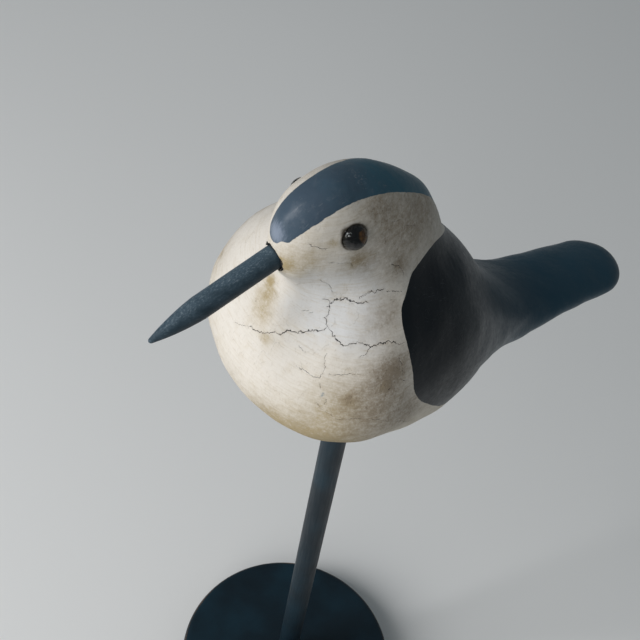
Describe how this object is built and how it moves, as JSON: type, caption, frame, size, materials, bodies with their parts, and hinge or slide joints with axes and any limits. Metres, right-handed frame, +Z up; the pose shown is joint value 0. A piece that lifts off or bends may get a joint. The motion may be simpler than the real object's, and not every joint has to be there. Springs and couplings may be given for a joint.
{
  "type": "bird figurine",
  "caption": "Carved and painted wooden shore bird with a dowel bill and glass eyes, standing on a slim rod over a round wooden foot.",
  "frame": {"origin": "centre of the foot's flat underside, on the rod's axis", "axes": "+X points where the bill points, +Y is the bird's left, +Z is up along the rod"},
  "size_m": [0.2202, 0.1, 0.3619],
  "materials": {
    "body_paint": "aged cream paint with crackle, satin blue-black on cap, back, wings and tail",
    "bill_paint": "matt dark slate paint, a little worn",
    "eye_glass": "polished glass over a brown iris and a black pupil",
    "stand_paint": "satin blue-black paint"
  },
  "bodies": {
    "root": {"carved_body": "body_paint", "bill": "bill_paint", "left_eye": "eye_glass", "right_eye": "eye_glass", "stand_rod": "stand_paint", "round_foot": "stand_paint"}
  },
  "joints": []
}
